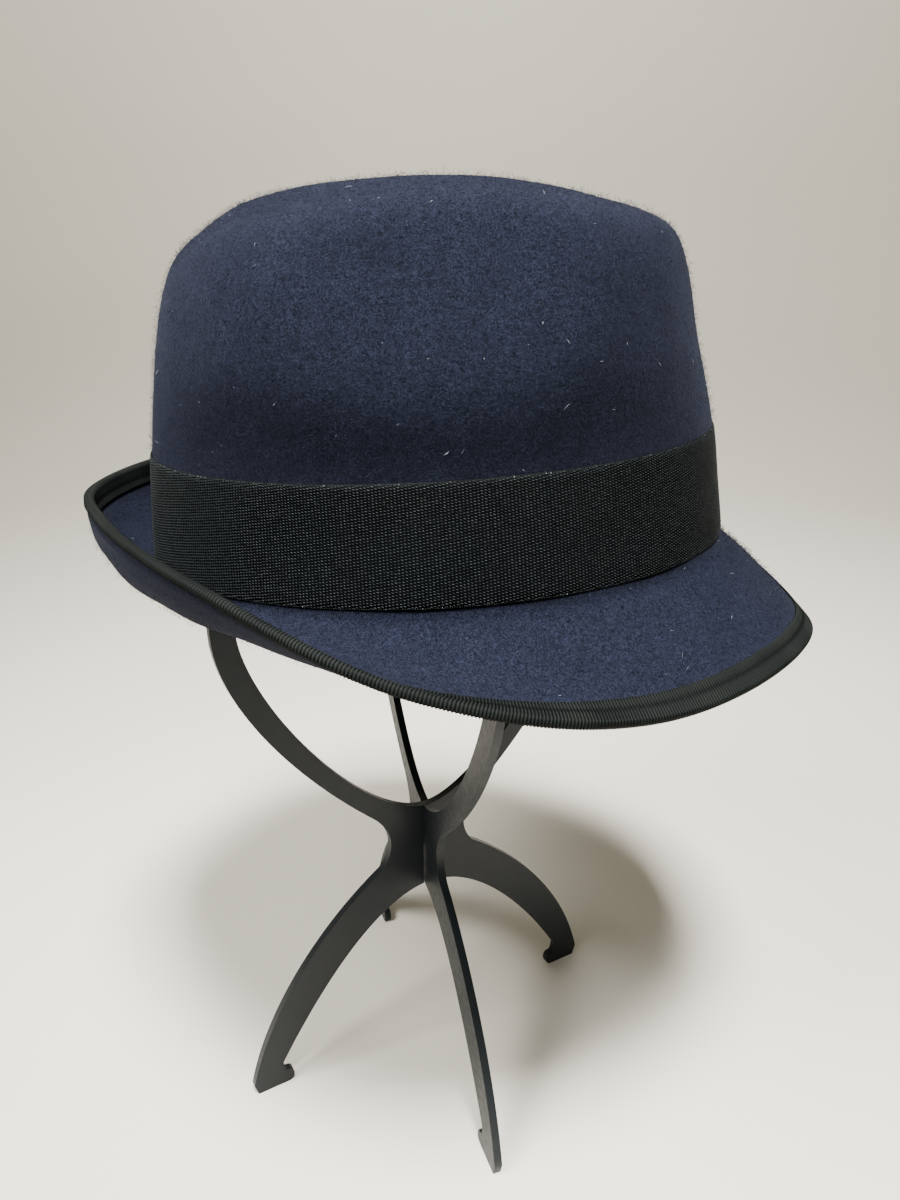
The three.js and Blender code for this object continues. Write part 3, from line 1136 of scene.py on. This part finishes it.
@dataclass
class BrimBinding:
    """The ribbed ribbon folded over the brim's edge and stitched through."""

    thick: float = 0.5
    seat: float = 0.12
    start: float = 1.2
    below: float = 0.18
    measured_at: float = 1.8
    top_points: int = 11
    under_points: int = 4
    fold_back: float = 0.02
    fold_share: float = 0.8
    rib_mm: float = 1.0
    rib_points: int = 4
    rib_proud: float = 0.38
    rib_sunk: float = 0.75
    # How sharply the grooves' painted shade gives way to the lighter rib tops.
    rib_power: float = 1.5
    slant: float = 1.6
    wander: float = 0.25
    wander_field: Waves = Waves(44, 20, 60)
    stitch_at: float = 1.54
    stitch_half: float = 0.12
    stitch_mm: float = 2.9
    stitch_dip: float = 0.35
    stitch_swing: float = 0.35
    # How far the stitching's dip is darkened with painted shade.
    stitch_shade: float = 0.7
    ragged: float = 0.008
    ragged_within: float = 0.02
    ragged_seed: int = 41

    def section(self) -> tuple[Array, Array, Array]:
        """Gives the ribbon's cross section.

        Returns:
            Stations, lifts, and 1 at the points that carry ribs.
        """
        inner = FORM.felt / 2 + self.seat
        outer = inner + self.thick
        fold_in = EDGE + self.seat / FORM.hem
        fold = fold_in + self.thick / FORM.hem
        near, bend = fold - self.fold_back, inner * self.fold_share
        last = EDGE - self.below
        top = np.linspace(self.start, EDGE, self.top_points)
        bottom = np.linspace(EDGE, last, self.under_points)
        face = np.concatenate([top, [near, fold, near], bottom])
        top_lift, bottom_lift = np.full(len(top), outer), np.full(len(bottom), -outer)
        face_lift = np.concatenate([top_lift, [bend, 0, -bend], bottom_lift])
        back = np.array([last, EDGE, fold_in, fold_in, EDGE, self.start])
        back_lift = inner * np.array([-1, -1, -1, 1, 1, 1])
        return (
            np.concatenate([face, back]),
            np.concatenate([face_lift, back_lift]),
            np.concatenate([np.ones(len(face)), np.zeros(len(back))]),
        )

    def braid(self) -> Any:
        """Presses the ribbed ribbon round the edge: two rows of ribs, parted by the stitching.

        Returns:
            The ribbon.
        """
        rng = np.random.default_rng(self.ragged_seed)
        station, lift, ribs = self.section()
        count = round(FORM.length_round(self.measured_at) / self.rib_mm)
        rounds = count * self.rib_points
        angle, length = FORM.even_angles(self.measured_at, rounds)
        theta, place = rolled(angle, station)
        run = np.arange(rounds) / rounds * length
        wander = self.wander_field.at(np.stack([run, 0 * run, 0 * run], -1))[:, None]
        sway = self.slant * np.maximum(place - self.stitch_at, 0) + self.wander * wander
        theta = theta + sway * ribs[None] / length * TURN
        swell = np.cos(np.arange(rounds) / self.rib_points * TURN)[:, None] * 0.5 + 0.5
        rib = self.rib_proud * (swell - self.rib_sunk) * ribs[None]
        on_top = ((lift > 0) & (ribs > 0))[None]
        seam = bell((place - self.stitch_at) / self.stitch_half) * on_top
        pull = 1 - self.stitch_swing + self.stitch_swing * np.cos(run / self.stitch_mm * TURN)
        dip = self.stitch_dip * pull[:, None] * seam
        ragged = np.repeat(rng.normal(0, self.ragged, count), self.rib_points)[:, None]
        place = place + ragged * (place < self.start + self.ragged_within)
        height = lift[None] + np.sign(lift)[None] * rib - dip
        # Painted shade: near black in the grooves and along the stitching's dip, lighter towards each
        # rib's top.
        shade = swell**self.rib_power * ribs[None] * (1 - self.stitch_shade * seam)
        return pressed_ring("binding_braid", theta, place, height, shade)

    def build(self) -> None:
        braid = self.braid()
        dress(braid, GROSGRAIN, "brim_binding")


# ---------------- the stand


class Bend(NamedTuple):
    """A Bezier curve of a plate's outline, with controls as how far out and how high."""

    steps: int
    controls: tuple[Pair, ...]

    def points(self) -> Array:
        """Samples the curve.

        Returns:
            Its points, both ends included.
        """
        share = np.linspace(0, 1, self.steps + 1)[:, None]
        level = [np.asarray(c, float)[None] + 0 * share for c in self.controls]
        while len(level) > 1:
            level = [a + (b - a) * share for a, b in zip(level, level[1:])]
        return level[0]


@dataclass(frozen=True)
class StandPlate:
    """One moulded plate of the stand: a loop for the hat, a slotted hub and two legs with feet."""

    name: str
    node: str
    turn_deg: float
    loop_half: float
    from_below: bool
    x: float = 2.0
    y: float = 10.66
    thick: float = 3.2
    gap: float = 0.35
    crossing_deg: float = 80.0
    hub_bottom: float = 77.1
    hub_top: float = 116.4
    loop_low: float = 183.0
    loop_middle: float = 210.7
    loop_top: float = 325.53
    loop_points: int = 65
    arm: float = 9.0
    edge_round: float = 0.55
    edge_steps: int = 3
    sharp_deg: float = 50.0
    flat_weight: int = 80

    def loop_quarter(self, half: float, top: float) -> Array:
        """Traces a quarter of the loop from its side to its top, as how far out and how high."""
        angle = np.linspace(0, math.pi / 2, self.loop_points)
        rise = (top - self.loop_middle) * np.sin(angle)
        return np.column_stack([half * np.cos(angle), self.loop_middle + rise])

    def outer_edge(self) -> Array:
        """Traces the right half of the outer edge, from the arch up to the top of the loop.

        Returns:
            Its points, as how far out and how high.
        """
        side = (self.loop_half, self.loop_low), (self.loop_half, self.loop_middle)
        bends = (
            # The arch under the hub and the inside of the leg.
            Bend(36, ((0, self.hub_bottom), (26, self.hub_bottom), (53, 41), (70.8, 11.4))),
            # The hook of the foot.
            Bend(8, ((70.8, 11.4), (70.8, 6.4), (68.9, 6.4))),
            Bend(8, ((68.9, 6.4), (66.4, 6.4), (66.4, 3.2))),
            Bend(8, ((66.4, 3.2), (66.4, 0), (69.6, 0))),
            # The sole and the toe.
            Bend(1, ((69.6, 0), (82.4, 0))),
            Bend(1, ((82.4, 0), (84, 5))),
            # The outside of the leg, the waist and the loop's arm.
            Bend(36, ((84, 5), (75, 41), (50, 72), (22, 91))),
            Bend(20, ((22, 91), (12.2, 103.7), (24, 116.5))),
            Bend(36, ((24, 116.5), (56, 145.5), *side)),
        )
        loop = self.loop_quarter(self.loop_half, self.loop_top)
        return np.vstack([*(bend.points()[:-1] for bend in bends), loop])

    def inner_edge(self) -> Array:
        """Traces the right half of the loop's inner edge, from the hub up.

        Returns:
            Its points, as how far out and how high.
        """
        half = self.loop_half - self.arm
        side = (half, self.loop_low), (half, self.loop_middle)
        bowl = Bend(60, ((0, self.hub_top), (28, self.hub_top), *side))
        return np.vstack([bowl.points()[:-1], self.loop_quarter(half, self.loop_top - self.arm)])

    def slot_half(self) -> float:
        """Gives half the width of a slot, which clears the other plate at its angle."""
        crossing = math.radians(self.crossing_deg)
        return (self.thick * (1 + math.cos(crossing)) + 2 * self.gap) / math.sin(crossing) / 2

    def notched(self, edge: Array, at_start: bool, level: float) -> Array:
        """Cuts half a slot into one end of a half outline.

        Args:
            edge: The half outline's points.
            at_start: Whether the slot is at its first end.
            level: Height of the slot's end.

        Returns:
            The half outline with the slot.
        """
        half = self.slot_half()
        edge = edge if at_start else edge[::-1]
        first = int(np.argmax(edge[:, 0] > half))
        share = (half - edge[first - 1, 0]) / (edge[first, 0] - edge[first - 1, 0])
        mouth = edge[first - 1] + share * (edge[first] - edge[first - 1])
        cut = np.vstack([[(0, level), (half, level)], mouth[None], edge[first:]])
        return cut if at_start else cut[::-1]

    def outlines(self) -> list[Array]:
        """Gives the whole outer and inner outlines with their slots.

        Returns:
            Two closed rings of points.
        """
        hub = (self.hub_bottom + self.hub_top) / 2
        top = self.loop_top - self.arm / 2
        outer, inner = self.outer_edge(), self.inner_edge()
        if self.from_below:
            outer = self.notched(outer, True, hub + self.gap / 2)
            inner = self.notched(inner, False, top + self.gap / 2)
        else:
            outer = self.notched(outer, False, top - self.gap / 2)
            inner = self.notched(inner, True, hub - self.gap / 2)
        return [np.vstack([half, (half[1:-1] * (-1, 1))[::-1]]) for half in (outer, inner)]

    def sheet(self) -> Any:
        """Lays the two outlines out as one flat filled sheet.

        Returns:
            The sheet, at the plate's back face.
        """
        loops = []
        for ring in self.outlines():
            start_alone()
            bpy.ops.mesh.primitive_circle_add(vertices=len(ring), fill_type="NOTHING")
            loop = name_active(self.name)
            back = np.full(len(ring), -self.thick / 2)
            flat = np.column_stack([ring[:, 0], back, ring[:, 1]]) * MM
            loop.data.vertices.foreach_set("co", flat.astype(np.float32).ravel())
            loops.append(loop)
        pick(loops[0])
        loops[1].select_set(True)
        bpy.ops.object.join()
        with editing():
            bpy.ops.mesh.fill(use_beauty=True)
        return name_active(self.name)

    def build(self) -> None:
        """Makes the plate with its rounded edges, stands it in place and dresses it."""
        plate = self.sheet()
        through = {"value": (0, self.thick * MM, 0)}
        sharp = math.radians(self.sharp_deg)
        with editing():
            bpy.ops.mesh.extrude_region_move(TRANSFORM_OT_translate=through)
            bpy.ops.mesh.select_all(action="SELECT")
            bpy.ops.mesh.normals_make_consistent(inside=False)
        apply_modifier(
            plate,
            "BEVEL",
            width=self.edge_round * MM,
            segments=self.edge_steps,
            limit_method="ANGLE",
            angle_limit=sharp,
            use_clamp_overlap=True,
        )
        pick(plate)
        bpy.ops.object.shade_smooth_by_angle(angle=sharp)
        apply_modifier(plate, "WEIGHTED_NORMAL", keep_sharp=True, weight=self.flat_weight)
        pick(plate)
        plate.rotation_euler = (0, 0, math.radians(self.turn_deg))
        plate.location = (self.x * MM, self.y * MM, 0)
        bpy.ops.object.transform_apply(location=True, rotation=True, scale=True)
        dress(plate, PLASTIC, self.node)


# ---------------- the studio


class Softbox(NamedTuple):
    """A soft square light: place and aim in metres, power in watts, side, and spread in degrees."""

    name: str
    at: Place
    aim: Place
    power: float
    size: float
    spread: float


@dataclass
class Studio:
    """Pale cove floor, soft lights and the camera."""

    floor_radius: float = 1.1
    floor_sides: int = 128
    wall_height: float = 1.7
    cove: float = 0.5
    cove_steps: int = 14
    crease_deg: float = 40.0
    lamp: str = "#fffdfa"
    fill: str = "#f1efe9"
    fill_strength: float = 0.08
    camera_at: Place = (-0.3219, 0.00056, 0.3313)
    camera_pitch: float = 69.1
    camera_yaw: float = -90.0
    lens: float = 27.0
    sensor: float = 36.0
    clip_start: float = 0.01
    boxes: tuple[Softbox, ...] = (
        Softbox("overhead_softbox", (-0.47, -0.07, 1.5), (0.0, 0.0, 0.1), 14.5, 0.3, 74.0),
        Softbox("left_softbox", (-0.36, 0.5, 0.98), (0.0, 0.0, 0.25), 3.6, 0.4, 80.0),
        Softbox("backdrop_softbox", (0.35, 0.0, 1.5), (1.6, 0.0, 0.5), 11.0, 0.5, 120.0),
    )

    def raise_rim(self, rise: float, wider: float = 1.0) -> None:
        """Extrudes the floor's selected rim upwards, and makes it some times as wide."""
        bpy.ops.mesh.extrude_region_move(TRANSFORM_OT_translate={"value": (0, 0, rise)})
        bpy.ops.transform.resize(value=(wider, wider, 1))

    def floor(self) -> None:
        """Makes the floor, which curves up into a wall all round, far from the object."""
        start_alone()
        bpy.ops.mesh.primitive_circle_add(
            vertices=self.floor_sides, radius=self.floor_radius, fill_type="NGON"
        )
        floor = name_active("studio_floor")
        radius = self.floor_radius
        with editing():
            bpy.ops.mesh.select_mode(type="EDGE")
            for k in range(self.cove_steps):
                a, b = (math.pi / 2 * i / self.cove_steps for i in (k, k + 1))
                wider = radius + self.cove * (math.sin(b) - math.sin(a))
                self.raise_rim(self.cove * (math.cos(a) - math.cos(b)), wider / radius)
                radius = wider
            self.raise_rim(self.wall_height - self.cove)
            bpy.ops.mesh.delete(type="ONLY_FACE")
        bpy.ops.object.shade_smooth_by_angle(angle=math.radians(self.crease_deg))
        floor.data.materials.append(PAPER.material())

    def hang(self, box: Softbox) -> None:
        """Hangs a soft square light and turns it to what it lights.

        Args:
            box: The light.
        """
        start_alone()
        bpy.ops.object.light_add(type="AREA", location=box.at)
        light = name_active(box.name)
        light.data.energy, light.data.size = box.power, box.size
        light.data.spread = math.radians(box.spread)
        light.data.color = linear(self.lamp)[:3]
        x, y, z = np.array(box.aim) - np.array(box.at)
        light.rotation_euler = (math.atan2(math.hypot(x, y), -z), 0, math.atan2(-x, y))

    def fill_world(self) -> None:
        """Gives the world a faint even light."""
        world = bpy.data.worlds.new("studio_fill")
        world.use_nodes = True
        background = world.node_tree.nodes["Background"]
        background.inputs["Color"].default_value = linear(self.fill)
        background.inputs["Strength"].default_value = self.fill_strength
        bpy.context.scene.world = world

    def set_camera(self) -> None:
        """Sets the camera where the photo was taken from."""
        start_alone()
        turn = (math.radians(self.camera_pitch), 0, math.radians(self.camera_yaw))
        bpy.ops.object.camera_add(location=self.camera_at, rotation=turn)
        camera = bpy.context.object
        camera.name = "photo_camera"
        camera.data.lens = self.lens
        camera.data.sensor_width = self.sensor
        camera.data.clip_start = self.clip_start
        bpy.context.scene.camera = camera

    def build(self) -> None:
        """Makes the floor, the lights, the world's fill and the camera."""
        self.floor()
        for box in self.boxes:
            self.hang(box)
        self.fill_world()
        self.set_camera()


def main() -> None:
    """Builds the studio and each sub-assembly in order."""
    logging.basicConfig(level=logging.INFO, format="%(name)s: %(message)s")
    Studio().build()
    StandPlate("plate_a_moulding", "stand_plate_a", -60, 83.5, True).build()
    StandPlate("plate_b_moulding", "stand_plate_b", 20, 79, False).build()
    FeltBody().build()
    HatBand().build()
    BrimBinding().build()


if __name__ == "__main__":
    main()
